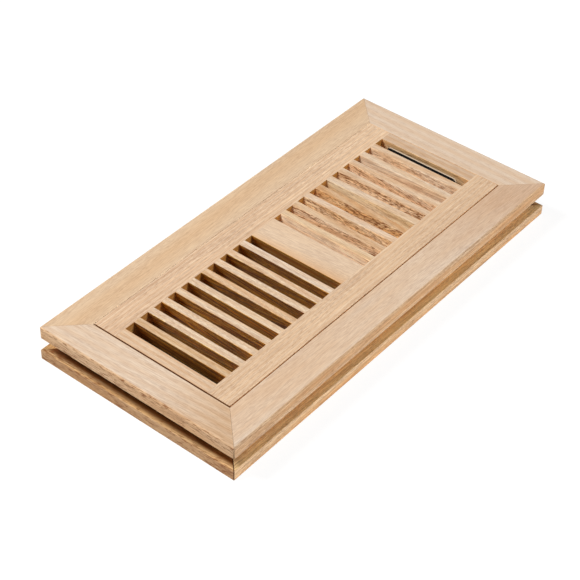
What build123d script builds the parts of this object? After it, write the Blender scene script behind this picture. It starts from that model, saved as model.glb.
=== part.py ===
from build123d import *

import os
from math import sqrt

# Flush wooden floor register: a mitred oak frame, a lift-out louvred insert and a slide damper.
#
# The frame is let into a boarded floor. Its outer edge is grooved for the boards' tongues, and a ledge
# round its inside carries the insert. The insert's slats lean outwards in both halves, so the air leaves
# towards both ends. A slotted steel slide under the slats opens and shuts them. It is pushed with the tab
# that stands in the slot at the back end.
#
# Millimetres. +X runs along the register towards its back end, +Y towards its left side and +Z up. The
# origin is at the middle of the frame's underside.

# Frame
FRAME_LENGTH = 316.0
FRAME_WIDTH = 151.4
FRAME_THICKNESS = 25.4
FRAME_FACE = 22.6  # width of each rail's upper face
LEDGE_REACH = 5.0  # how far the ledge stands in under the insert
LEDGE_HEIGHT = 8.0
LOWER_LIP = 7.2  # wood below the groove
GROOVE_HEIGHT = 9.5
GROOVE_DEPTH = 9.0
OUTER_EDGE_RADIUS = 1.8  # rounding of the frame's upper outer edge
CORNER_RADIUS = 2.0  # sanded rounding of the upper lip at the frame's four corners
EDGE_CHAMFER = 0.4  # sanded edge on the lips beside the groove
GAP_CHAMFER = 0.2  # sanded edge on both sides of the gap round the insert
MITRE_GLUE = 0.1  # glue line between two rails
SPLINE_LENGTH = 18.0  # along the mitre
SPLINE_REACH = 5.0  # into each of the two rails
SPLINE_THICKNESS = 3.0
SPLINE_GLUE = 0.05  # glue line on every side of a spline

# Insert
INSERT_GAP = 0.4  # between insert and frame on each side, when the insert is in the middle
INSERT_PUSHED = 0.3  # the insert lies this far from the middle, towards the back and the left
STILE_WIDTH = 16.95
END_RAIL_FACE = 8.85
CENTRE_RAIL_FACE = 22.6
SLATS_PER_HALF = 9
SLAT_FACE = 5.6  # width of a slat's upper face
SLAT_LEAN = 6.4  # how far a slat's foot stands in from its head
SLAT_CHAMFER = 0.25
END_SLOT_EXTRA = 1.0  # the two end slots are this much wider than the others
TENON_LENGTH = 4.0
TENON_COVER = 4.0  # wood of the stile left above a tenon
TENON_GLUE = 0.1  # glue line round a tenon
END_TENON_SHOULDER = 2.0  # at each side of the end rails' tenons

# Damper
SHEET = 1.0  # steel thickness of slide, tab and guides
SLIDE_CLEARANCE = 0.3
SLIDE_OVERLAP = 3.1  # how far the slide reaches past the ends of the slots
SLIDE_DRAWN_SHUT = 2.6  # the slide is drawn this far from fully open
WINDOW_INSET = 1.9  # each window's end is this far inside the end of its slot
WINDOW_LAP = 0.1  # overlap of slide and slat when shut
TAB_INSET = 7.4  # from the end of the slot to the end of the tab
TAB_BELOW_FACE = 1.0  # the tab's upper edge lies this far under the upper face
TAB_CORNER = 3.0
TAB_FOOT = 5.6
RIVET_SHANK = 2.4
RIVET_HEAD = 4.4
RIVET_HEAD_HEIGHT = 0.8
RIVET_BEVEL = 0.5
RIVET_INSET = 11.0  # from the end of the tab
GUIDE_LIP = 3.0  # how far a guide reaches in under the slide
GUIDE_CLEARANCE = 1.2  # from the guides to the frame's ledge
GUIDE_BEND = 0.8  # outer radius of the folds
SCREWS_PER_GUIDE = 3
SCREW_INSET = 20.0  # from the end of a guide
SCREW_SHANK = 2.8
SCREW_LENGTH = 10.0  # under the head
SCREW_POINT = 2.5
SCREW_HEAD = 5.6
SCREW_HEAD_HEIGHT = 1.8
SCREW_BEVEL = 1.0
HOLE_CLEARANCE = 0.05  # radial, round screws and rivets

# Places that follow from the sizes above
rail_depth = FRAME_FACE + LEDGE_REACH
groove_middle = LOWER_LIP + GROOVE_HEIGHT / 2
groove_top = LOWER_LIP + GROOVE_HEIGHT
insert_top = FRAME_THICKNESS
insert_bottom = LEDGE_HEIGHT
insert_half_length = FRAME_LENGTH / 2 - FRAME_FACE - INSERT_GAP
insert_half_width = FRAME_WIDTH / 2 - FRAME_FACE - INSERT_GAP
slot_half_length = insert_half_width - STILE_WIDTH
tenon_top = insert_top - TENON_COVER
tenon_end = slot_half_length + TENON_LENGTH
end_rail_inside = insert_half_length - END_RAIL_FACE
louvre_run = end_rail_inside - CENTRE_RAIL_FACE / 2 - END_SLOT_EXTRA
slot_width = (louvre_run - SLATS_PER_HALF * SLAT_FACE) / (SLATS_PER_HALF + 1)
slat_pitch = slot_width + SLAT_FACE
ledge_inside_x = FRAME_LENGTH / 2 - rail_depth
ledge_inside_y = FRAME_WIDTH / 2 - rail_depth
damper_room_x = ledge_inside_x - INSERT_PUSHED  # from the insert's middle to the ledge
damper_room_y = ledge_inside_y - INSERT_PUSHED
slide_travel = slat_pitch / 2
slide_top = insert_bottom - SLIDE_CLEARANCE
slide_bottom = slide_top - SHEET
slide_half_width = slot_half_length + SLIDE_OVERLAP
tab_back = end_rail_inside - SLIDE_CLEARANCE
tab_half_width = slot_half_length - TAB_INSET
foot_top = slide_top + SHEET
guide_half_length = damper_room_x - GUIDE_CLEARANCE
guide_outside = damper_room_y - GUIDE_CLEARANCE
web_inside = slide_half_width + SLIDE_CLEARANCE
web_outside = web_inside + SHEET
flange_bottom = insert_bottom - SHEET
lip_top = slide_bottom - SLIDE_CLEARANCE
screw_y = (web_outside + guide_outside) / 2


def block(x_range, y_range, z_range):
    """A box between three pairs of faces."""
    ranges = (x_range, y_range, z_range)
    sizes = [high - low for low, high in ranges]
    middle = [(high + low) / 2 for low, high in ranges]
    return Pos(*middle) * Box(*sizes)


def peg(place, radius, z_range):
    """A round peg along Z at a place (x, y)."""
    low, high = z_range
    return Pos(*place, (low + high) / 2) * Cylinder(radius, high - low)


def bar_across(outline, half_width):
    """A bar along Y, centred, from its outline of (x, z) points."""
    face = make_face(Polyline(*[(x, 0, z) for x, z in outline], close=True))
    return extrude(face, half_width, dir=(0, 1, 0), both=True)


# Frame rails and splines
def frame_section():
    """The rail's section in (distance from the outer face, height), with its rounded and sanded edges."""
    rounding_start = FRAME_THICKNESS - OUTER_EDGE_RADIUS
    outline = Polyline(
        (OUTER_EDGE_RADIUS, FRAME_THICKNESS),
        (FRAME_FACE - GAP_CHAMFER, FRAME_THICKNESS),
        (FRAME_FACE, FRAME_THICKNESS - GAP_CHAMFER),
        (FRAME_FACE, LEDGE_HEIGHT),
        (rail_depth, LEDGE_HEIGHT),
        (rail_depth, 0),
        (0, 0),
        (0, LOWER_LIP - EDGE_CHAMFER),
        (EDGE_CHAMFER, LOWER_LIP),
        (GROOVE_DEPTH, LOWER_LIP),
        (GROOVE_DEPTH, groove_top),
        (EDGE_CHAMFER, groove_top),
        (0, groove_top + EDGE_CHAMFER),
        (0, rounding_start),
    )
    rounding = RadiusArc((0, rounding_start), (OUTER_EDGE_RADIUS, FRAME_THICKNESS), OUTER_EDGE_RADIUS)
    return make_face(outline + rounding)


def frame_rail(outer_length):
    """A rail along X with its outer face at y = 0 and its inside towards +Y, mitred at both ends."""
    upright = Plane(origin=(0, 0, 0), x_dir=(0, 1, 0), z_dir=(1, 0, 0))
    moulding = extrude(upright * frame_section(), outer_length / 2, both=True)
    outer_end = outer_length / 2 - MITRE_GLUE / sqrt(2)
    inner_end = outer_end - rail_depth
    corners = [(-outer_end, 0), (outer_end, 0), (inner_end, rail_depth), (-inner_end, rail_depth)]
    plan = make_face(Polyline(*corners, close=True))
    return moulding & extrude(plan, FRAME_THICKNESS)


def splines(glue):
    """The four splines across the mitres, grown by the glue line where they are the slots for them."""
    sizes = (SPLINE_LENGTH, 2 * SPLINE_REACH, SPLINE_THICKNESS)
    spline = Box(*[size + 2 * glue for size in sizes])
    x = FRAME_LENGTH / 2 - rail_depth / 2
    y = FRAME_WIDTH / 2 - rail_depth / 2
    corners = [(x, y, 45), (-x, y, 135), (-x, -y, 45), (x, -y, 135)]
    return [Pos(cx, cy, LOWER_LIP / 2) * Rot(0, 0, turn) * spline for cx, cy, turn in corners]


def frame_parts():
    """The four rails, slotted for their splines and with the upper lip sanded round, and the splines."""
    long_rail = frame_rail(FRAME_LENGTH)
    short_rail = frame_rail(FRAME_WIDTH)
    rails = {
        "frame_rail_right": Pos(0, -FRAME_WIDTH / 2) * long_rail,
        "frame_rail_left": Pos(0, FRAME_WIDTH / 2) * Rot(0, 0, 180) * long_rail,
        "frame_rail_front": Pos(-FRAME_LENGTH / 2, 0) * Rot(0, 0, -90) * short_rail,
        "frame_rail_back": Pos(FRAME_LENGTH / 2, 0) * Rot(0, 0, 90) * short_rail,
    }
    rounded = RectangleRounded(FRAME_LENGTH, FRAME_WIDTH, CORNER_RADIUS)
    sanded = extrude(Rectangle(FRAME_LENGTH, FRAME_WIDTH), groove_middle)
    sanded += Pos(0, 0, groove_middle) * extrude(rounded, FRAME_THICKNESS - groove_middle)
    slots = splines(SPLINE_GLUE)
    parts = {name: (rail & sanded) - slots for name, rail in rails.items()}
    parts["frame_splines"] = Compound(splines(0))
    return parts


# Insert: slats, rails and stiles
def leaning(head, z):
    """Where an edge that leans outwards lies at height z, from its place at the upper face."""
    return head - SLAT_LEAN * (insert_top - z) / (insert_top - insert_bottom)


def leaning_outline(low, high, z_low, z_high):
    """The outline between two heights of a bar that leans outwards, from its edges at the upper face."""
    return [
        (leaning(low, z_low), z_low),
        (leaning(high, z_low), z_low),
        (leaning(high, z_high), z_high),
        (leaning(low, z_high), z_high),
    ]


def slat_head(index):
    """Where a back slat's upper face starts and ends, counted from the centre rail."""
    start = CENTRE_RAIL_FACE / 2 + slot_width + index * slat_pitch
    return start, start + SLAT_FACE


def slat_tenon(index, glue):
    """A back slat's tenons in one bar, grown by the glue line where it is their housing."""
    low, high = slat_head(index)
    outline = leaning_outline(low - glue, high + glue, insert_bottom, tenon_top + glue)
    return bar_across(outline, tenon_end + glue)


def back_slat(index):
    """A leaning slat, sanded along its upper edges. The tenons stop short of the upper face."""
    low, high = slat_head(index)
    foot_low, foot_high, head_high, head_low = leaning_outline(
        low, high, insert_bottom, insert_top - SLAT_CHAMFER
    )
    sanded = [(high - SLAT_CHAMFER, insert_top), (low + SLAT_CHAMFER, insert_top)]
    outline = [foot_low, foot_high, head_high, *sanded, head_low]
    return bar_across(outline, slot_half_length) + slat_tenon(index, 0)


def centre_tenon(glue):
    """The centre rail's tenons in one bar, grown by the glue line where it is their housing."""
    head = CENTRE_RAIL_FACE / 2 + glue
    foot = leaning(head, insert_bottom)
    neck = leaning(head, tenon_top + glue)
    outline = [(-foot, insert_bottom), (foot, insert_bottom)]
    outline += [(neck, tenon_top + glue), (-neck, tenon_top + glue)]
    return bar_across(outline, tenon_end + glue)


def centre_rail():
    """The wedge between the two banks, with sides as steep as the slats."""
    head = CENTRE_RAIL_FACE / 2
    foot = leaning(head, insert_bottom)
    neck_z = insert_top - SLAT_CHAMFER
    neck = leaning(head, neck_z)
    sanded = head - SLAT_CHAMFER
    outline = [(-foot, insert_bottom), (foot, insert_bottom), (neck, neck_z)]
    outline += [(sanded, insert_top), (-sanded, insert_top), (-neck, neck_z)]
    return bar_across(outline, slot_half_length) + centre_tenon(0)


def end_tenon(glue):
    """The back end rail's tenons in one bar, grown by the glue line where it is their mortise."""
    low = end_rail_inside + END_TENON_SHOULDER - glue
    high = insert_half_length - END_TENON_SHOULDER + glue
    reach = tenon_end + glue
    return block((low, high), (-reach, reach), (insert_bottom + TENON_COVER - glue, tenon_top + glue))


def back_end_rail():
    """The square rail across the back end of the insert."""
    outline = [
        (end_rail_inside, insert_bottom),
        (insert_half_length, insert_bottom),
        (insert_half_length, insert_top - GAP_CHAMFER),
        (insert_half_length - GAP_CHAMFER, insert_top),
        (end_rail_inside + SLAT_CHAMFER, insert_top),
        (end_rail_inside, insert_top - SLAT_CHAMFER),
    ]
    return bar_across(outline, slot_half_length) + end_tenon(0)


def stile_housings():
    """What the stiles are cut out for, right across the insert."""
    back_half = [slat_tenon(index, TENON_GLUE) for index in range(SLATS_PER_HALF)]
    back_half.append(end_tenon(TENON_GLUE))
    front_half = [mirror(housing, Plane.YZ) for housing in back_half]
    return back_half + front_half + [centre_tenon(TENON_GLUE)]


def screw_places():
    """Where the screws stand along the left guide."""
    reach = guide_half_length - SCREW_INSET
    spacing = 2 * reach / (SCREWS_PER_GUIDE - 1)
    return [(-reach + spacing * number, screw_y) for number in range(SCREWS_PER_GUIDE)]


def left_stile():
    """The insert's long side at +Y, with housings, screw holes and sanded upper edges."""
    stile = block(
        (-insert_half_length, insert_half_length),
        (slot_half_length, insert_half_width),
        (insert_bottom, insert_top),
    )
    upper_edges = stile.faces().sort_by(Axis.Z)[-1].edges().sort_by(Axis.Y)
    stile = chamfer(upper_edges[1:], GAP_CHAMFER)
    hole_top = flange_bottom + SCREW_LENGTH + HOLE_CLEARANCE
    hole_radius = SCREW_SHANK / 2 + HOLE_CLEARANCE
    holes = [peg(place, hole_radius, (insert_bottom, hole_top)) for place in screw_places()]
    return stile - stile_housings() - holes


def insert_parts():
    """The insert's wooden pieces. Slats are counted from the centre rail outwards."""
    left = left_stile()
    back_rail = back_end_rail()
    parts = {
        "insert_stile_left": left,
        "insert_stile_right": mirror(left, Plane.XZ),
        "insert_end_rail_back": back_rail,
        "insert_end_rail_front": mirror(back_rail, Plane.YZ),
        "insert_centre_rail": centre_rail(),
    }
    for index in range(SLATS_PER_HALF):
        slat = back_slat(index)
        parts[f"slat_back_{index + 1}"] = slat
        parts[f"slat_front_{index + 1}"] = mirror(slat, Plane.YZ)
    return parts


# Damper: slide, tab, rivets, guides and screws
def slide_windows():
    """Where the slide's windows start and end along X when the damper is open. Each stands under a slot
    then, and the bars between them stand under the slots when it is shut."""
    window = slat_pitch - slot_width - 2 * WINDOW_LAP
    first_foot = leaning(CENTRE_RAIL_FACE / 2, insert_bottom)
    shuts_front = slide_travel - first_foot + WINDOW_LAP
    windows = []
    for index in range(SLATS_PER_HALF + 1):
        low = first_foot + index * slat_pitch + (slot_width - window) / 2
        high = low + window
        windows.append((max(low, shuts_front), high))
        if index < SLATS_PER_HALF:
            windows.append((-high, -low))
    return windows


def rivet_places():
    """Where the rivets stand in the tab's foot when the damper is open."""
    x = tab_back - SHEET - TAB_FOOT / 2
    y = tab_half_width - RIVET_INSET
    return [(x, -y), (x, y)]


def rivet_holes(z_range):
    """Holes for the rivets."""
    return [peg(place, RIVET_SHANK / 2 + HOLE_CLEARANCE, z_range) for place in rivet_places()]


def damper_slide():
    """The slotted steel sheet under the slats."""
    front_end = slide_travel - end_rail_inside - WINDOW_LAP
    back_end = damper_room_x - SLIDE_CLEARANCE
    thickness = (slide_bottom, slide_top)
    sheet = block((front_end, back_end), (-slide_half_width, slide_half_width), thickness)
    reach = slot_half_length - WINDOW_INSET
    windows = [block(window, (-reach, reach), thickness) for window in slide_windows()]
    return sheet - windows - rivet_holes(thickness)


def damper_tab():
    """A folded angle: a foot on the slide, and an upright with round corners in the end slot."""
    across = (-tab_half_width, tab_half_width)
    upright = block((tab_back - SHEET, tab_back), across, (slide_top, insert_top - TAB_BELOW_FACE))
    corners = upright.edges().filter_by(Axis.X).group_by(Axis.Z)[-1]
    upright = fillet(corners, TAB_CORNER)
    foot = block((tab_back - SHEET - TAB_FOOT, tab_back), across, (slide_top, foot_top))
    angle = upright + foot
    fold = angle.edges().filter_by(Axis.Y).sort_by(lambda edge: edge.center().X - edge.center().Z)[-1]
    return fillet(fold, GUIDE_BEND) - rivet_holes((slide_top, foot_top))


def damper_rivets():
    """Rivets through foot and slide, with a bevelled head above and a flat closed end below."""
    rivets = []
    for place in rivet_places():
        head = peg(place, RIVET_HEAD / 2, (foot_top, foot_top + RIVET_HEAD_HEIGHT))
        head = chamfer(head.edges().group_by(Axis.Z)[-1], RIVET_BEVEL)
        shank = peg(place, RIVET_SHANK / 2, (slide_bottom, foot_top))
        closed_end = peg(place, RIVET_HEAD / 2, (slide_bottom - RIVET_HEAD_HEIGHT, slide_bottom))
        rivets.append(head + shank + closed_end)
    return Compound(rivets)


def left_guide():
    """A folded strip under the left stile: a flange for the screws, a web, and a lip under the slide."""
    lip_inside = slide_half_width - GUIDE_LIP
    lip_bottom = lip_top - SHEET
    outline = [
        (web_inside, insert_bottom),
        (guide_outside, insert_bottom),
        (guide_outside, flange_bottom),
        (web_outside, flange_bottom),
        (web_outside, lip_bottom),
        (lip_inside, lip_bottom),
        (lip_inside, lip_top),
        (web_inside, lip_top),
    ]
    face = make_face(Polyline(*[(0, y, z) for y, z in outline], close=True))
    folds = [(0, web_inside, insert_bottom), (0, web_outside, lip_bottom)]
    corners = [face.vertices().sort_by_distance(fold)[0] for fold in folds]
    strip = extrude(fillet(corners, GUIDE_BEND), guide_half_length, dir=(1, 0, 0), both=True)
    hole_radius = SCREW_SHANK / 2 + HOLE_CLEARANCE
    return strip - [peg(place, hole_radius, (flange_bottom, insert_bottom)) for place in screw_places()]


def left_screws():
    """Pointed wood screws with bevelled heads through the left guide."""
    screws = []
    shank_top = flange_bottom + SCREW_LENGTH - SCREW_POINT
    for place in screw_places():
        head = peg(place, SCREW_HEAD / 2, (flange_bottom - SCREW_HEAD_HEIGHT, flange_bottom))
        head = chamfer(head.edges().group_by(Axis.Z)[0], SCREW_BEVEL)
        shank = peg(place, SCREW_SHANK / 2, (flange_bottom, shank_top))
        point = Pos(*place, shank_top + SCREW_POINT / 2) * Cone(SCREW_SHANK / 2, 0, SCREW_POINT)
        screws.append(head + shank + point)
    return screws


def damper_parts():
    """The slide with its tab and rivets, drawn part way to shut, and the guides with their screws."""
    guide = left_guide()
    screws = left_screws()
    drawn = Pos(-SLIDE_DRAWN_SHUT, 0, 0)
    return {
        "damper_slide": drawn * damper_slide(),
        "damper_tab": drawn * damper_tab(),
        "damper_rivets": drawn * damper_rivets(),
        "damper_guide_left": guide,
        "damper_guide_right": mirror(guide, Plane.XZ),
        "guide_screws": Compound(screws + [mirror(screw, Plane.XZ) for screw in screws]),
    }


os.makedirs("parts", exist_ok=True)
pushed = Pos(INSERT_PUSHED, INSERT_PUSHED, 0)
lift_out = {name: pushed * part for name, part in {**insert_parts(), **damper_parts()}.items()}
for name, part in {**frame_parts(), **lift_out}.items():
    export_step(part, f"parts/{name}.step")
print("slot width", round(slot_width, 3), "pitch", round(slat_pitch, 3))
print("slide travel: open", SLIDE_DRAWN_SHUT, "shut", round(SLIDE_DRAWN_SHUT - slide_travel, 3))
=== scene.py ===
from math import pi, radians

import bpy
from mathutils import Matrix, Vector


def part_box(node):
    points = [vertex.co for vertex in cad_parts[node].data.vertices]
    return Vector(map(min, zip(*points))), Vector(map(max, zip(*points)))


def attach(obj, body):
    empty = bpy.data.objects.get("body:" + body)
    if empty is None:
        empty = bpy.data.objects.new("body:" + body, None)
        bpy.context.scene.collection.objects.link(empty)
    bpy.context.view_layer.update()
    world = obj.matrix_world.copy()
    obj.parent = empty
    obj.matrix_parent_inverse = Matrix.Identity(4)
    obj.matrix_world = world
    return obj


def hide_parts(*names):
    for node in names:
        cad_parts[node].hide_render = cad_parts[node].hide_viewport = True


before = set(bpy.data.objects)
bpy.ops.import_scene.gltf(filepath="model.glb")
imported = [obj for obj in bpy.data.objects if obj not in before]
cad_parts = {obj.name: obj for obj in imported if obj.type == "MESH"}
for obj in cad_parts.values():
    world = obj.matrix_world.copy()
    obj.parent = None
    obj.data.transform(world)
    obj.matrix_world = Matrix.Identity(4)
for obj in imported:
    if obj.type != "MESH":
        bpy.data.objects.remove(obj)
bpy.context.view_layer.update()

# Frame: four oak rails, mitred at the corners and moulded before they are joined.
# Their upper faces are sanded; the groove and the lips keep the mark of the cutter and look
# deeper in colour. Inside each groove the colour is also painted light and shade, darkening
# under the upper lip, and the front lower lip carries painted shade and the right one painted
# light. The grain runs along each rail, so it turns at every mitre.
MM = 0.001
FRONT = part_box("frame_rail_front")[0].x / MM
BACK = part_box("frame_rail_back")[1].x / MM
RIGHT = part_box("frame_rail_right")[0].y / MM
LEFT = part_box("frame_rail_left")[1].y / MM
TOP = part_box("frame_rail_front")[1].z / MM
NEAR_CORNER = (FRONT, RIGHT)
SANDED_ABOVE = 23.5
GROOVE_LOW = 7.1
GROOVE_HIGH = 16.8

GRAIN_BROWN = "#8C5226"
CRACK_BROWN = "#4A2A12"
# Unfinished oak is porous, so it reflects less than solid wood substance, with its 1.53, would.
OAK_IOR = 1.3
OAK_ROUGHNESS = 0.62
# Boards are taken from one log this far apart, in metres, and start their rings at other phases.
BOARD_STEP = 0.37
PHASE_STEP = 2.1
# The period of Blender's wave texture at a scale of 1, in metres.
WAVE_PERIOD = 2 * pi / 20
# Real fibres, streaks and pores are too fine to show at this size, so all are drawn coarser.
# Each stretch says how many times as long as wide they are; sizes are in mm.
FIBRE_STRETCH = 40
STREAK_WIDTH = 0.5
STREAK_STRETCH = 18
PORE_STRETCH = 9
BLOTCH_SIZE = 9
# Upward part of the normal of a face that counts as level, and of one that counts as a side.
LEVEL = 0.97
STEEP = 0.75
# How far blotches bring pores together, how deep pores are in mm, and how many times its share
# a ring or blotch changes the gamma of the wood's colour.
CROWDING = 0.6
PORE_DEPTH = 0.1
GAMMA_SWING = 3
# How far a mitre's dark gap reaches along X to each side of the joint, in mm: at the top, where it is
# closed, and from CRACK_LOW down.
CRACK_CLOSED = 0.05
CRACK_OPEN = 0.4
CRACK_LOW = 16.0


def linear(hex_colour):
    """An sRGB hex colour as the linear RGBA that Blender's sockets take."""
    out = []
    for k in (1, 3, 5):
        c = int(hex_colour[k:k + 2], 16) / 255
        out.append(c / 12.92 if c <= 0.04045 else ((c + 0.055) / 1.055) ** 2.4)
    return (*out, 1.0)


def bare_material(name):
    """A new material with no nodes yet, and its tree."""
    material = bpy.data.materials.new(name)
    material.use_nodes = True
    material.node_tree.nodes.clear()
    return material, material.node_tree


def add(tree, kind, values=None, links=None, **settings):
    """A node of this kind: settings are its own fields, values its sockets, links what feeds them."""
    node = tree.nodes.new(kind)
    for field, value in settings.items():
        setattr(node, field, value)
    for socket, value in (values or {}).items():
        node.inputs[socket].default_value = value
    for socket, source in (links or {}).items():
        tree.links.new(source, node.inputs[socket])
    return node


def sawn_share(tree, coord, place):
    """A socket that is 0 on sanded upper faces and 1 on the sawn sides and on all that lies lower."""
    facing = add(tree, "ShaderNodeSeparateXYZ", links={"Vector": coord.outputs["Normal"]})
    upper = add(tree, "ShaderNodeMath", {1: SANDED_ABOVE * MM}, {0: place.outputs["Z"]},
                operation="GREATER_THAN")
    flat = add(tree, "ShaderNodeMath", links={0: facing.outputs["Z"], 1: upper.outputs["Value"]},
               operation="MULTIPLY")
    return add(tree, "ShaderNodeMapRange", {"From Min": LEVEL, "From Max": STEEP},
               {"Value": flat.outputs["Value"]}).outputs["Result"]


def grain_patterns(tree, coord, along, seed, ring, pith, slope, tilt, fibre, pore):
    """Sockets from 0 to 1 for year rings, blotches, fibres, streaks and pores, laid along the grain."""
    if along == "X":
        turn = (0, radians(tilt), -radians(slope))
    else:
        turn = (-radians(tilt), 0, -radians(90 + slope))
    board = add(tree, "ShaderNodeMapping",
                {"Rotation": turn, "Location": (seed * BOARD_STEP, pith[0] * MM, pith[1] * MM)},
                {"Vector": coord.outputs["Object"]}).outputs["Vector"]
    fibre_grain = add(tree, "ShaderNodeMapping", {"Scale": (1 / FIBRE_STRETCH, 1, 1)}, {"Vector": board})
    fibres = add(tree, "ShaderNodeTexNoise", {"Scale": 1 / (fibre * MM), "Detail": 3.0, "Roughness": 0.7},
                 {"Vector": fibre_grain.outputs["Vector"]})
    streak_grain = add(tree, "ShaderNodeMapping", {"Scale": (1 / STREAK_STRETCH, 1, 1)}, {"Vector": board})
    streak = add(tree, "ShaderNodeTexNoise",
                 {"Scale": 1 / (STREAK_WIDTH * MM), "Detail": 2.0, "Roughness": 0.6},
                 {"Vector": streak_grain.outputs["Vector"]})
    pore_grain = add(tree, "ShaderNodeMapping", {"Scale": (1 / PORE_STRETCH, 1, 1)}, {"Vector": board})
    vessels = add(tree, "ShaderNodeTexNoise", {"Scale": 1 / (pore * MM), "Detail": 2.0, "Roughness": 0.6},
                  {"Vector": pore_grain.outputs["Vector"]})
    rings = add(tree, "ShaderNodeTexWave",
                {"Scale": WAVE_PERIOD / (ring * MM), "Distortion": 6.0, "Detail": 2.0,
                 "Detail Scale": 0.25, "Detail Roughness": 0.5, "Phase Offset": seed * PHASE_STEP},
                {"Vector": pore_grain.outputs["Vector"]},
                wave_type="RINGS", rings_direction="X", wave_profile="SIN")
    blotch = add(tree, "ShaderNodeTexNoise",
                 {"Scale": 1 / (BLOTCH_SIZE * MM), "Detail": 4.0, "Roughness": 0.6},
                 {"Vector": pore_grain.outputs["Vector"]})
    return [node.outputs["Fac"] for node in (rings, blotch, fibres, streak, vessels)]


def ground_tone(tree, place, side, face, sawn, drift, bands, groove):
    """The colour of the wood between its marks, as oak describes its faces, drift, bands and groove, with the
    painted light and shade that the bands and groove carry.
    """
    base = add(tree, "ShaderNodeMix", {6: linear(face), 7: linear(sawn)}, {0: side}, data_type="RGBA")
    if drift:
        axis, start, end, colour = drift
        turned = add(tree, "ShaderNodeMapRange", {"From Min": start * MM, "From Max": end * MM},
                     {"Value": place.outputs[axis]})
        board_tone = add(tree, "ShaderNodeMix", {6: linear(face), 7: linear(colour)},
                         {0: turned.outputs["Result"]}, data_type="RGBA")
        tree.links.new(board_tone.outputs[2], base.inputs[6])
    base = base.outputs[2]
    # Each band paints its colour over the sawn faces in its range; on the lower lips, seams and slot ends
    # that colour is painted light or shade.
    for axis, low, high, above, colour in bands:
        within = add(tree, "ShaderNodeMath", {1: (low + high) / 2 * MM, 2: (high - low) / 2 * MM},
                     {0: place.outputs[axis]}, operation="COMPARE")
        over = add(tree, "ShaderNodeMath", {1: above * MM}, {0: place.outputs["Z"]}, operation="GREATER_THAN")
        both = add(tree, "ShaderNodeMath", links={0: within.outputs["Value"], 1: over.outputs["Value"]},
                   operation="MULTIPLY")
        share = add(tree, "ShaderNodeMath", links={0: both.outputs["Value"], 1: side}, operation="MULTIPLY")
        base = add(tree, "ShaderNodeMix", {7: linear(colour)}, {0: share.outputs["Value"], 6: base},
                   data_type="RGBA").outputs[2]
    # Painted light and shade across the groove, from one colour at its mouth to another further in.
    if groove:
        axis, start, darkest, lit, deep = groove
        inwards = add(tree, "ShaderNodeMapRange", {"From Min": start * MM, "From Max": darkest * MM},
                      {"Value": place.outputs[axis]})
        shade = add(tree, "ShaderNodeMix", {6: linear(lit), 7: linear(deep)}, {0: inwards.outputs["Result"]},
                    data_type="RGBA")
        within = add(tree, "ShaderNodeMath",
                     {1: (GROOVE_LOW + GROOVE_HIGH) / 2 * MM, 2: (GROOVE_HIGH - GROOVE_LOW) / 2 * MM},
                     {0: place.outputs["Z"]}, operation="COMPARE")
        base = add(tree, "ShaderNodeMix", links={0: within.outputs["Value"], 6: base, 7: shade.outputs[2]},
                   data_type="RGBA").outputs[2]
    return base


def opened_mitre(tree, place, base, corner):
    """The colour of the wood with a dark line down the mitre at a corner, widest at the groove."""
    along_mitre = add(tree, "ShaderNodeMath", links={0: place.outputs["X"], 1: place.outputs["Y"]},
                      operation="SUBTRACT")
    width = add(tree, "ShaderNodeMapRange",
                {"From Min": TOP * MM, "From Max": CRACK_LOW * MM,
                 "To Min": CRACK_CLOSED * MM, "To Max": CRACK_OPEN * MM},
                {"Value": place.outputs["Z"]})
    opened = add(tree, "ShaderNodeMath", {1: (corner[0] - corner[1]) * MM},
                 {0: along_mitre.outputs["Value"], 2: width.outputs["Result"]}, operation="COMPARE")
    return add(tree, "ShaderNodeMix", {7: linear(CRACK_BROWN)}, {0: opened.outputs["Value"], 6: base},
               data_type="RGBA").outputs[2]


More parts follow.
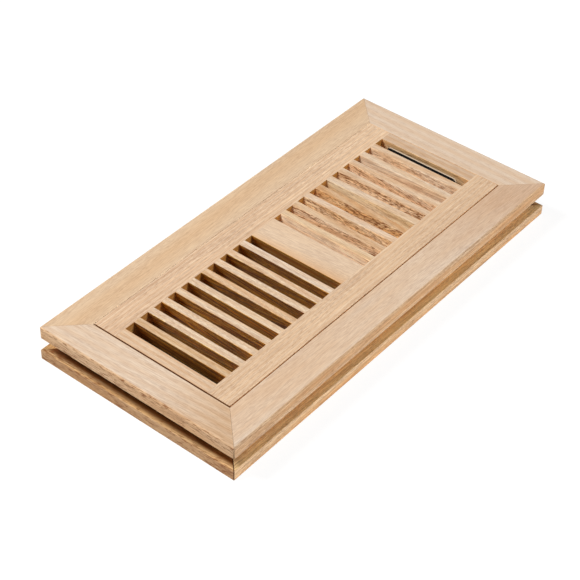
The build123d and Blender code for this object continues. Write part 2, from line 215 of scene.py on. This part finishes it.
def oak(name, along, face, sawn, seed, ring=5.0, pith=(60, 40), slope=0.0, tilt=0.0, figure=0.05, cloud=0.05,
        fibre=1.0, lines=0.12, saw_lines=0.5, streaks=0.24, pore=0.45, pores=0.18, flecks=0.45,
        drift=None, groove=None, bands=(), crack=None):
    """Unfinished oak: pale sanded faces with fine straight lines, deeper sawn faces with open pores.

    along is the grain's axis, face and sawn the colours of its two kinds of face, and seed the board.
    ring is the width of a year ring, and pith the heart's distance across and below; both are in mm.
    slope turns the grain in plan and tilt in height, in degrees. figure and cloud say how far rings
    and blotches change the tone. fibre and pore are widths in mm. lines and saw_lines say how far the
    fibres change the tone on a sanded and on a sawn face, streaks how far short grain does on both,
    and pores and flecks how far pores do on a sanded and on a sawn face.
    drift is an axis, the range on it in mm over which the sanded face turns to another colour, and
    that colour. groove is the painted light and shade across the groove: the axis across the rail,
    where the groove starts and where it is darkest, and its two colours. Each band is an axis, a
    range on it in mm, the height above which it counts, and the colour of the sawn faces there,
    which on the lower lips, the seams and the slot ends is painted light or shade. crack is the
    corner whose mitre has opened.
    """
    material, tree = bare_material(name)
    coord = add(tree, "ShaderNodeTexCoord")
    place = add(tree, "ShaderNodeSeparateXYZ", links={"Vector": coord.outputs["Object"]})
    side = sawn_share(tree, coord, place)
    rings, blotch, fibres, streak, vessels = grain_patterns(tree, coord, along, seed, ring, pith, slope,
                                                            tilt, fibre, pore)
    base = ground_tone(tree, place, side, face, sawn, drift, bands, groove)
    # Darker wood is also warmer, which a gamma above 1 gives.
    for pattern, share in ((rings, figure), (blotch, cloud)):
        swing = GAMMA_SWING * share
        warmth = add(tree, "ShaderNodeMapRange", {"To Min": 1 + swing, "To Max": 1 - swing},
                     {"Value": pattern})
        base = add(tree, "ShaderNodeGamma",
                   links={"Color": base, "Gamma": warmth.outputs["Result"]}).outputs["Color"]
    crowded = add(tree, "ShaderNodeMath", {1: CROWDING}, {0: blotch, 2: vessels}, operation="MULTIPLY_ADD")
    # Each mark has its pattern, the pattern's value for none and for the most of it, its least amount,
    # and its share on a sanded and on a sawn face. Fibres and streaks lighten the wood as often as
    # they darken it; pores, which come last, only darken it, and they are sunk as well.
    marks = ((fibres, 0.64, 0.36, -0.5, lines, saw_lines),
             (streak, 0.36, 0.64, -0.5, streaks, streaks),
             (crowded.outputs["Value"], 0.80, 0.94, 0.0, pores, flecks))
    for pattern, none, most, least, sanded, raw in marks:
        amount = add(tree, "ShaderNodeMapRange",
                     {"From Min": none, "From Max": most, "To Min": least, "To Max": least + 1},
                     {"Value": pattern})
        share = add(tree, "ShaderNodeMapRange", {"To Min": sanded, "To Max": raw}, {"Value": side})
        dark = add(tree, "ShaderNodeMath", links={0: amount.outputs["Result"], 1: share.outputs["Result"]},
                   operation="MULTIPLY")
        base = add(tree, "ShaderNodeMix", {7: linear(GRAIN_BROWN)}, {0: dark.outputs["Value"], 6: base},
                   data_type="RGBA", clamp_factor=False).outputs[2]
    if crack:
        base = opened_mitre(tree, place, base, crack)
    bump = add(tree, "ShaderNodeBump", {"Strength": 0.2, "Distance": PORE_DEPTH * MM},
               {"Height": dark.outputs["Value"]}, invert=True)
    shader = add(tree, "ShaderNodeBsdfPrincipled", {"Roughness": OAK_ROUGHNESS, "IOR": OAK_IOR},
                 {"Base Color": base, "Normal": bump.outputs["Normal"]})
    add(tree, "ShaderNodeOutputMaterial", links={"Surface": shader.outputs["BSDF"]})
    return material


def dress(node, material):
    """Gives a CAD node its material."""
    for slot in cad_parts[node].material_slots:
        slot.material = material


RAIL_CREAM = "#EACFB4"
RAIL_ROSE = "#EACEB2"
RAIL_STRAW = "#E7C5A0"
NEAR_TAN = "#DAB692"
FAR_TAN = "#DBB797"
SAWN_OAK = "#E8BF92"
LIP_OAK = "#DFB68C"
# Lower lips: the front one is painted darker, painted shade, and the right one paler, painted light from the
# low right lamp and the floor.
SHADED_LIP = "#CDA276"
LIT_LIP = "#F8CC9C"
# Groove colours are painted light and shade across each groove. The front and back grooves turn from a lit
# tan at the mouth to a near-black painted shade further in, under the upper lip. The right groove is paler at
# its mouth, painted light where the low right lamp reaches in, and the left one runs from a duller tan to the
# plain groove tan.
GROOVE_OAK = "#E4B881"
LIT_GROOVE = "#F1C98A"
DULL_GROOVE = "#CFA066"
GROOVE_SHADE = "#6E3E10"
GAP_SHADE_BROWN = "#8A5A30"
SEAM_LIGHT_CREAM = "#F8DAB6"
# Bands as oak takes them: an axis, a range on it in mm, the height above which they count, a colour.
UPPER_LIP = ("Z", GROOVE_HIGH - 0.1, TOP, 0)
LOWER_LIP = ("Z", -1.0, GROOVE_LOW + 0.1, -1)
# The insert lies against the left rail, so its seam there is shut, and the front one is open.
# The shut seam's chamfers are painted pale, painted light that hides their shading, and the open
# seam's walls dark brown, painted shade in the gap.
INSERT_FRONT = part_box("insert_end_rail_front")[0].x / MM
INSERT_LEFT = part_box("insert_stile_left")[1].y / MM
OPEN_SEAM_SHADE = ("X", INSERT_FRONT - 1.3, INSERT_FRONT + 0.7, 18, GAP_SHADE_BROWN)
SHUT_SEAM_LIGHT = ("Y", INSERT_LEFT - 0.5, INSERT_LEFT + 0.6, 22, SEAM_LIGHT_CREAM)

dress("frame_rail_front",
      oak("oak_frame_front", "Y", RAIL_CREAM, SAWN_OAK, 1.0, ring=6.0, pith=(110, 30), slope=3.0,
          figure=0.03, cloud=0.06, lines=0.13, saw_lines=0.45, pore=0.6, flecks=0.9,
          drift=("Y", -10, -60, NEAR_TAN),
          groove=("X", FRONT + 1.0, FRONT + 4.5, GROOVE_OAK, GROOVE_SHADE),
          bands=((*UPPER_LIP, LIP_OAK), (*LOWER_LIP, SHADED_LIP), OPEN_SEAM_SHADE), crack=NEAR_CORNER))
dress("frame_rail_back",
      oak("oak_frame_back", "Y", RAIL_CREAM, SAWN_OAK, 2.0, ring=7.0, pith=(-95, 50), slope=-1.0,
          figure=0.04, cloud=0.06, lines=0.08, streaks=0.12,
          groove=("X", BACK - 0.5, BACK - 4.5, GROOVE_OAK, GROOVE_SHADE)))
dress("frame_rail_left",
      oak("oak_frame_left", "X", RAIL_STRAW, SAWN_OAK, 3.0, ring=9.0, pith=(-20, 55), slope=1.5,
          figure=0.03, lines=0.06,
          groove=("Y", LEFT - 0.7, LEFT - 8.7, DULL_GROOVE, GROOVE_OAK), bands=(SHUT_SEAM_LIGHT,)))
dress("frame_rail_right",
      oak("oak_frame_right", "X", RAIL_ROSE, SAWN_OAK, 4.0, ring=9.0, pith=(60, 45), slope=-1.5,
          cloud=0.15, lines=0.06, saw_lines=0.6, flecks=0.4,
          drift=("X", 40, 130, FAR_TAN),
          groove=("Y", RIGHT + 0.7, RIGHT + 8.7, LIT_GROOVE, GROOVE_OAK),
          bands=((*UPPER_LIP, LIP_OAK), (*LOWER_LIP, LIT_LIP)), crack=NEAR_CORNER))

# Splines: thin beech strips glued across the mitres, hidden in the frame.
# They show only where a mitre opens, so they keep one plain wood.
TAN = "#DEB98F"
dress("frame_splines", oak("beech_spline", "X", TAN, SAWN_OAK, 5.0, ring=2.0))

# Insert stiles: two long oak bars that carry the slats in stopped housings.
# They lie flush with the frame, sanded with it, with straight fine grain along them.
# The left one's inner wall closes the slots and is painted darker there, painted shade at the slot ends.
STILE_PEACH = "#E8C5A3"
STILE_STRAW = "#E9C7A4"
STILE_PALE = "#EFCDAA"
SLOT_END_SHADE = "#C28C4A"
SLOT_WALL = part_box("insert_stile_left")[0].y / MM
dress("insert_stile_left",
      oak("oak_stile_left", "X", STILE_PEACH, SAWN_OAK, 6.0, ring=3.0, pith=(120, 30),
          figure=0.03, lines=0.34, streaks=0.25, pores=0.3, drift=("X", -40, 90, STILE_PALE),
          bands=(("Y", SLOT_WALL - 1, SLOT_WALL + 1, -1, SLOT_END_SHADE), OPEN_SEAM_SHADE, SHUT_SEAM_LIGHT)))
dress("insert_stile_right",
      oak("oak_stile_right", "X", STILE_STRAW, SAWN_OAK, 7.0, ring=3.0, pith=(-120, 30),
          figure=0.03, lines=0.26, streaks=0.2, pores=0.3, bands=(OPEN_SEAM_SHADE,)))

# Insert rails: the two end rails and the broad centre rail, tenoned into the stiles.
# The centre rail is cut through the heart side and shows a faint arched figure.
PEACH = "#E6C3A0"
END_TAN = "#DCBA99"
LIT_END = "#FFD098"
HEART_CREAM = "#E8C19A"
# A deep orange for sawn faces that lie in the slots: painted shade.
SHADED_SAWN = "#D2983F"
dress("insert_end_rail_front",
      oak("oak_end_front", "Y", PEACH, SAWN_OAK, 8.0, ring=4.0, lines=0.16, bands=(OPEN_SEAM_SHADE,)))
dress("insert_end_rail_back",
      oak("oak_end_back", "Y", END_TAN, LIT_END, 9.0, ring=4.0, lines=0.16, pore=0.7, flecks=0.65))
dress("insert_centre_rail",
      oak("oak_centre", "Y", HEART_CREAM, SHADED_SAWN, 10.0, ring=7.0, pith=(5, 45), slope=4.0,
          figure=0.09, cloud=0.08))

# Slats: nine in each bank, leaning outwards, ripped from mixed offcuts and numbered from the centre.
# Each top is sanded with the insert; the leaning faces are left as they were sawn, and those that
# show in the back bank are full of open pores.
CREAM = "#E9CBAB"
STRAW = "#EAC79E"
ROSE = "#EBCAAA"
HONEY = "#E3BD96"
AMBER = "#DAAE82"
# Front-bank sawn faces lean over their slots and are painted deep, painted shade; slats 6 to 8 are a little
# paler, painted light that makes up for lamp light they lack. Back-bank sawn faces lean up to the lamps and
# are painted paler than other sawn oak, painted light, and differ from slat to slat as the offcuts do.
WARM_SAWN = "#E6AC4E"
RUSSET_SAWN = "#CF8E34"
FRONT_TONES = (RAIL_CREAM, PEACH, CREAM, HONEY, CREAM, CREAM, CREAM, CREAM, TAN)
FRONT_SAWN = (*(SHADED_SAWN,) * 5, *(WARM_SAWN,) * 3, RUSSET_SAWN)
BACK_TONES = (STRAW, HONEY, ROSE, AMBER, CREAM, PEACH, PEACH, CREAM, PEACH)
BACK_SAWN = ("#FAD6AE", "#EFC69B", "#F9CC98", "#EDB97F", "#E9C698",
             "#F8CB9B", "#F9CFA3", "#ECC9A4", "#F1CBA3")
BACK_FLECKS = (0.3, 1.0, 0.8, 1.0, 0.45, 1.0, 0.95, 0.3, 0.6)
SLAT_TILTS = (4, -7, 9, -12, 6, -4, 10, -8, 5)
# The hearts of the offcuts lie further across and less deep from one slat to the next.
SLAT_PITHS = [(60 + 9 * k, 50 - 7 * k) for k in range(len(SLAT_TILTS))]
SLAT_SLOPES = [k % 3 - 1 for k in range(len(SLAT_TILTS))]
for k, (tone, sawn) in enumerate(zip(FRONT_TONES, FRONT_SAWN)):
    dress(f"slat_front_{k + 1}",
          oak(f"oak_slat_front_{k + 1}", "Y", tone, sawn, 11.0 + 1.3 * k, ring=4.0, pith=SLAT_PITHS[k],
              slope=1.5 * SLAT_SLOPES[k], tilt=SLAT_TILTS[k], fibre=2.0, lines=0.25, saw_lines=2.0,
              streaks=0.4, flecks=0.8))
for k, (tone, sawn, flecks) in enumerate(zip(BACK_TONES, BACK_SAWN, BACK_FLECKS)):
    dress(f"slat_back_{k + 1}",
          oak(f"oak_slat_back_{k + 1}", "Y", tone, sawn, 31.0 + 1.9 * k, ring=4.0, pith=SLAT_PITHS[k],
              slope=2.5 * SLAT_SLOPES[k], tilt=SLAT_TILTS[k] / 2, lines=0.25, saw_lines=0.7,
              streaks=0.35, pore=0.5, flecks=flecks))

# Damper steel: guides, slide and tab are cut and folded from 1 mm sheet and sprayed matt black.
# The tab's upper edge carries a painted highlight: a pale tan for the light and the wood's colour that it
# catches.
BLACK_PAINT = "#120B08"
EDGE_HIGHLIGHT = "#D8C0A6"
PAINT_IOR = 1.35
PAINT_ROUGHNESS = 0.8
PEEL_SIZE = 1.4
PEEL_CHANGE = 0.08
PEEL_DEPTH = 0.05
# The painted highlight starts above this height in mm, from this upward part of a face's normal to this one.
HIGHLIGHT_ABOVE = 20.0
HIGHLIGHT_FROM = 0.1
HIGHLIGHT_FULL = 0.6


def paint(name, highlight_above=None):
    """Matt black spray paint on sheet steel: a dull, slightly uneven coat.

    Above a height in mm, if one is given, the edge that faces up carries a painted highlight in pale tan.
    """
    material, tree = bare_material(name)
    coord = add(tree, "ShaderNodeTexCoord")
    # The coat's orange peel is finer than PEEL_SIZE mm, and is drawn coarser to show at all.
    peel = add(tree, "ShaderNodeTexNoise", {"Scale": 1 / (PEEL_SIZE * MM), "Detail": 2.0},
               {"Vector": coord.outputs["Object"]})
    rough = add(tree, "ShaderNodeMapRange",
                {"To Min": PAINT_ROUGHNESS - PEEL_CHANGE, "To Max": PAINT_ROUGHNESS + PEEL_CHANGE},
                {"Value": peel.outputs["Fac"]})
    bump = add(tree, "ShaderNodeBump", {"Strength": 0.2, "Distance": PEEL_DEPTH * MM},
               {"Height": peel.outputs["Fac"]})
    shader = add(tree, "ShaderNodeBsdfPrincipled", {"Base Color": linear(BLACK_PAINT), "IOR": PAINT_IOR},
                 {"Roughness": rough.outputs["Result"], "Normal": bump.outputs["Normal"]})
    # Painted highlight on the edge that faces up.
    if highlight_above:
        place = add(tree, "ShaderNodeSeparateXYZ", links={"Vector": coord.outputs["Object"]})
        facing = add(tree, "ShaderNodeSeparateXYZ", links={"Vector": coord.outputs["Normal"]})
        upper = add(tree, "ShaderNodeMath", {1: highlight_above * MM}, {0: place.outputs["Z"]},
                    operation="GREATER_THAN")
        edge = add(tree, "ShaderNodeMapRange", {"From Min": HIGHLIGHT_FROM, "From Max": HIGHLIGHT_FULL},
                   {"Value": facing.outputs["Z"]})
        highlight_share = add(tree, "ShaderNodeMath", links={0: upper.outputs["Value"], 1: edge.outputs["Result"]},
                   operation="MULTIPLY")
        tone = add(tree, "ShaderNodeMix", {6: linear(BLACK_PAINT), 7: linear(EDGE_HIGHLIGHT)},
                   {0: highlight_share.outputs["Value"]}, data_type="RGBA")
        tree.links.new(tone.outputs[2], shader.inputs["Base Color"])
    add(tree, "ShaderNodeOutputMaterial", links={"Surface": shader.outputs["BSDF"]})
    return material


black_steel = paint("matt_black_steel")
for node in ("damper_guide_left", "damper_guide_right", "damper_slide"):
    dress(node, black_steel)
dress("damper_tab", paint("black_steel_edge_highlight", HIGHLIGHT_ABOVE))

# Rivets: two black blind rivets hold the tab's foot to the slide.
# Each has a domed flange above the foot and a swelled, hollow end under the slide.
RIVET_FLANGE = 2.2
RIVET_SHANK = 1.2
FLANGE_DEPTH = 0.8
FLANGE_RIM = 0.55
SWELL_RIM = 0.3
HOLLOW_INSET = 0.75
HOLLOW_DEPTH = 0.3
# Round pieces have this many sides, and are shaded smooth over edges of fewer degrees than this.
ROUND_SIDES = 32
SMOOTH_BELOW = 35
# A face counts as facing a direction where its normal has this much of it. Heights are told apart
# to TOUCH mm.
FACING = 0.9
TOUCH = 0.01
slide_low, slide_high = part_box("damper_slide")
SHEET = (slide_high.z - slide_low.z) / MM
SLIDE_UNDER = slide_low.z / MM
FOOT_TOP = slide_high.z / MM + SHEET


def pick(test):
    """Selects, in edit mode, the faces of the piece in hand that pass a test."""
    bpy.ops.object.mode_set(mode="OBJECT")
    mesh = bpy.context.object.data
    for item in (*mesh.vertices, *mesh.edges):
        item.select = False
    for face in mesh.polygons:
        face.select = test(face)
    bpy.ops.object.mode_set(mode="EDIT")
    bpy.ops.mesh.select_mode(type="FACE")


def push(height):
    """Extrudes the picked faces by this height in mm along Z."""
    bpy.ops.mesh.extrude_region_move(TRANSFORM_OT_translate={"value": (0, 0, height * MM)})


def widen(scale, middle):
    """Scales the picked faces about a middle, level."""
    bpy.ops.transform.resize(value=(scale, scale, 1), center_override=middle)


def settle(piece, name, material, body):
    """Leaves edit mode, puts the piece's place in its mesh, and names, dresses and mounts it."""
    bpy.ops.object.mode_set(mode="OBJECT")
    bpy.ops.object.transform_apply(location=True, rotation=True, scale=True)
    bpy.ops.object.shade_smooth_by_angle(angle=radians(SMOOTH_BELOW))
    piece.name = name
    piece.data.materials.clear()
    piece.data.materials.append(material)
    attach(piece, body)


def repeat(piece, name, move, body):
    """Adds a copy of a finished piece, with its own mesh, moved by a Vector."""
    copy = piece.copy()
    copy.data = piece.data.copy()
    copy.data.transform(Matrix.Translation(move))
    bpy.context.collection.objects.link(copy)
    copy.name = name
    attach(copy, body)


low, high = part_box("damper_rivets")
rivet_at = Vector(((low.x + high.x) / 2, low.y + RIVET_FLANGE * MM, (SLIDE_UNDER + FOOT_TOP) / 2 * MM))
rivet_gap = Vector((0, high.y - low.y - 2 * RIVET_FLANGE * MM, 0))
half_grip = (FOOT_TOP - SLIDE_UNDER) / 2
bpy.ops.object.select_all(action="DESELECT")
bpy.ops.mesh.primitive_cylinder_add(vertices=ROUND_SIDES, radius=RIVET_SHANK * MM,
                                    depth=2 * half_grip * MM, location=rivet_at)
rivet = bpy.context.object
bpy.ops.object.mode_set(mode="EDIT")
for side, rim in ((1, FLANGE_RIM), (-1, SWELL_RIM)):
    end = half_grip - TOUCH
    pick(lambda face: face.normal.z * side > FACING and face.center.z * side > end * MM)
    push(0)
    widen(RIVET_FLANGE / RIVET_SHANK, rivet_at)
    push(side * FLANGE_DEPTH)
    bpy.ops.mesh.bevel(offset=rim * MM, segments=4, affect="EDGES")
    pick(lambda face: face.normal.z * side > FACING and face.center.z * side > (end + FLANGE_DEPTH) * MM)
    bpy.ops.mesh.inset(thickness=HOLLOW_INSET * MM)
    push(-side * HOLLOW_DEPTH)
settle(rivet, "tab_rivet_1", black_steel, "damper")
repeat(rivet, "tab_rivet_2", rivet_gap, "damper")
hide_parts("damper_rivets")

# Screws: six pan-head wood screws hold the guides to the stiles from below.
# They are bright zinc on steel, with a cross recess in the head and a rolled thread.
ZINC = "#B9BABB"
ZINC_GRAIN = 0.4
ZINC_ROUGHNESS = 0.35
ZINC_CHANGE = 0.1
SCREW_HEAD = 2.8
SCREW_SHANK = 1.4
HEAD_ROUNDING = 1.0
POINT_SCALE = 0.05
RECESS_WIDTH = 0.9
RECESS_ARM = 1.05
RECESS_DEPTH = 0.7
RECESS_TAPER = 0.45
ON_AXIS = 0.1
THREAD_RIDGE = 0.55
THREAD_PITCH = 1.3
THREAD_TURNS = 4
THREAD_START = 0.9
THREAD_TOP = 14.5
THREAD_STEPS = 20

zinc, tree = bare_material("zinc_plated_steel")
coord = add(tree, "ShaderNodeTexCoord")
# Bright plating with a fine sparkle. Its grains are far finer, and are drawn at this size to show.
grain = add(tree, "ShaderNodeTexNoise", {"Scale": 1 / (ZINC_GRAIN * MM), "Detail": 2.0},
            {"Vector": coord.outputs["Object"]})
rough = add(tree, "ShaderNodeMapRange",
            {"To Min": ZINC_ROUGHNESS - ZINC_CHANGE, "To Max": ZINC_ROUGHNESS + ZINC_CHANGE},
            {"Value": grain.outputs["Fac"]})
shader = add(tree, "ShaderNodeBsdfPrincipled", {"Base Color": linear(ZINC), "Metallic": 1.0},
             {"Roughness": rough.outputs["Result"]})
add(tree, "ShaderNodeOutputMaterial", links={"Surface": shader.outputs["BSDF"]})

low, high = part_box("guide_screws")
head_under = low.z / MM
head_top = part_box("damper_guide_left")[1].z / MM - SHEET
first = Vector((low.x + SCREW_HEAD * MM, low.y + SCREW_HEAD * MM, (head_under + head_top) / 2 * MM))
step_x = (high.x - low.x - 2 * SCREW_HEAD * MM) / 2
step_y = high.y - low.y - 2 * SCREW_HEAD * MM
bpy.ops.object.select_all(action="DESELECT")
bpy.ops.mesh.primitive_cylinder_add(vertices=ROUND_SIDES, radius=SCREW_HEAD * MM,
                                    depth=(head_top - head_under) * MM, location=first)
screw = bpy.context.object
bpy.ops.object.mode_set(mode="EDIT")
pick(lambda face: face.normal.z < -FACING)
bpy.ops.mesh.bevel(offset=HEAD_ROUNDING * MM, segments=5, affect="EDGES")
pick(lambda face: face.normal.z > FACING)
bpy.ops.mesh.inset(thickness=(SCREW_HEAD - SCREW_SHANK) * MM)
push(THREAD_TOP - head_top)
push(high.z / MM - THREAD_TOP)
widen(POINT_SCALE, first)
bpy.ops.object.mode_set(mode="OBJECT")

# A small cube grows four arms and tapers upwards, and is then cut out of the head.
bpy.ops.object.select_all(action="DESELECT")
bpy.ops.mesh.primitive_cube_add(size=RECESS_WIDTH * MM, location=(first.x, first.y, head_under * MM))
recess = bpy.context.object
bpy.ops.object.mode_set(mode="EDIT")
for along in (Vector((1, 0, 0)), Vector((-1, 0, 0)), Vector((0, 1, 0)), Vector((0, -1, 0))):
    pick(lambda face: face.normal.dot(along) > FACING and face.center.cross(along).length < ON_AXIS * MM)
    bpy.ops.mesh.extrude_region_move(TRANSFORM_OT_translate={"value": along * RECESS_ARM * MM})
pick(lambda face: face.normal.z > FACING)
push(RECESS_DEPTH)
widen(RECESS_TAPER, first)
bpy.ops.object.mode_set(mode="OBJECT")
bpy.ops.object.select_all(action="DESELECT")
screw.select_set(True)
bpy.context.view_layer.objects.active = screw
cut = screw.modifiers.new("recess", "BOOLEAN")
cut.object = recess
cut.solver = "EXACT"
bpy.ops.object.modifier_apply(modifier=cut.name)
bpy.data.objects.remove(recess, do_unlink=True)

# The thread is one triangle that the Screw modifier turns up the shank.
bpy.ops.object.select_all(action="DESELECT")
bpy.ops.mesh.primitive_circle_add(vertices=3, radius=THREAD_RIDGE * MM, fill_type="NGON",
                                  location=(first.x, first.y, (head_top + THREAD_START) * MM),
                                  rotation=(pi / 2, 0, 0))
thread = bpy.context.object
bpy.ops.object.transform_apply(location=False, rotation=True, scale=True)
bpy.ops.object.mode_set(mode="EDIT")
bpy.ops.mesh.select_all(action="SELECT")
bpy.ops.transform.translate(value=(SCREW_SHANK * MM, 0, 0))
bpy.ops.object.mode_set(mode="OBJECT")
turns = thread.modifiers.new("thread", "SCREW")
turns.axis = "Z"
turns.screw_offset = THREAD_PITCH * MM
turns.iterations = THREAD_TURNS
turns.steps = THREAD_STEPS
turns.render_steps = THREAD_STEPS
turns.use_merge_vertices = True
bpy.ops.object.modifier_apply(modifier=turns.name)
screw.select_set(True)
bpy.context.view_layer.objects.active = screw
bpy.ops.object.join()
settle(screw, "guide_screw_1", zinc, "register")
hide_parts("guide_screws")
for k in range(1, 6):
    move = Vector((k % 3 * step_x, k // 3 * step_y, 0))
    repeat(screw, f"guide_screw_{k + 1}", move, "register")

# Setting: a white floor that throws light back up, and two lamps, one at each long side.
# The left lamp stands a little to the front and the right lamp a little to the back.
FLOOR_SIZE = 6.0
FLOOR_PAPER = "#EDEDED"
FLOOR_FAINT = "#7C7C7C"
WHITE = "#FFFFFF"
FLOOR_GLOW = 0.90
ROOM_LIGHT = 0.06
LAMP_DISTANCE = 3.0
# Each lamp has its name, its direction from the register, its width in metres and its power in watts.
LAMPS = (("lamp_left", (-0.5, 0.72, 1.0), 1.2, 81.0), ("lamp_right", (0.22, -2.2, 1.0), 0.6, 46.0))


def looked_at(tree):
    """A socket that is 1 where the camera sees something, also in metal or through glass."""
    seen = add(tree, "ShaderNodeLightPath")
    either = add(tree, "ShaderNodeMath",
                 links={0: seen.outputs["Is Camera Ray"], 1: seen.outputs["Is Glossy Ray"]},
                 operation="MAXIMUM")
    return add(tree, "ShaderNodeMath",
               links={0: either.outputs["Value"], 1: seen.outputs["Is Transmission Ray"]},
               operation="MAXIMUM").outputs["Value"]


bpy.ops.object.select_all(action="DESELECT")
bpy.ops.mesh.primitive_plane_add(size=FLOOR_SIZE, location=(0, 0, 0))
floor = bpy.context.object
floor.name = "studio_floor"
# White paper that lights the register as paper does, and looks almost white with a faint shadow.
white_paper, tree = bare_material("studio_white")
paper = add(tree, "ShaderNodeBsdfDiffuse", {"Color": linear(FLOOR_PAPER)})
faint = add(tree, "ShaderNodeBsdfDiffuse", {"Color": linear(FLOOR_FAINT)})
glow = add(tree, "ShaderNodeEmission", {"Color": linear(WHITE), "Strength": FLOOR_GLOW})
pale = add(tree, "ShaderNodeAddShader", links={0: faint.outputs["BSDF"], 1: glow.outputs["Emission"]})
shown = add(tree, "ShaderNodeMixShader",
            links={0: looked_at(tree), 1: paper.outputs["BSDF"], 2: pale.outputs["Shader"]})
add(tree, "ShaderNodeOutputMaterial", links={"Surface": shown.outputs["Shader"]})
floor.data.materials.append(white_paper)

world = bpy.data.worlds.new("studio_room")
bpy.context.scene.world = world
world.use_nodes = True
tree = world.node_tree
tree.nodes.clear()
strength = add(tree, "ShaderNodeMapRange", {"To Min": ROOM_LIGHT, "To Max": 1.0}, {"Value": looked_at(tree)})
room = add(tree, "ShaderNodeBackground", {"Color": linear(WHITE)}, {"Strength": strength.outputs["Result"]})
add(tree, "ShaderNodeOutputWorld", links={"Surface": room.outputs["Background"]})

for name, towards, size, power in LAMPS:
    lamp = bpy.data.lights.new(name, "AREA")
    lamp.energy = power
    lamp.shape = "DISK"
    lamp.size = size
    aim = Vector(towards).normalized()
    lamp_object = bpy.data.objects.new(name, lamp)
    bpy.context.collection.objects.link(lamp_object)
    lamp_object.location = aim * LAMP_DISTANCE
    lamp_object.rotation_euler = aim.to_track_quat("Z", "Y").to_euler()

# Camera: a long lens from above the near corner, rolled a little as the photo was.
# Its place and aim are in mm, and its roll in degrees.
LENS = 101.8
SENSOR = 36.0
CAMERA_AT = (-627.6, -475.5, 678.5)
CAMERA_AIM = (-24.22, -6.46, 12.7)
CAMERA_ROLL = 1.97
camera = bpy.data.cameras.new("camera")
camera.lens = LENS
camera.sensor_width = SENSOR
camera_object = bpy.data.objects.new("camera", camera)
bpy.context.collection.objects.link(camera_object)
camera_object.location = Vector(CAMERA_AT) * MM
look = Vector(CAMERA_AIM) * MM - camera_object.location
camera_object.rotation_euler = look.to_track_quat("-Z", "Y").to_euler()
camera_object.rotation_euler.rotate_axis("Z", radians(CAMERA_ROLL))
bpy.context.scene.camera = camera_object
bpy.context.scene.view_settings.view_transform = "Standard"
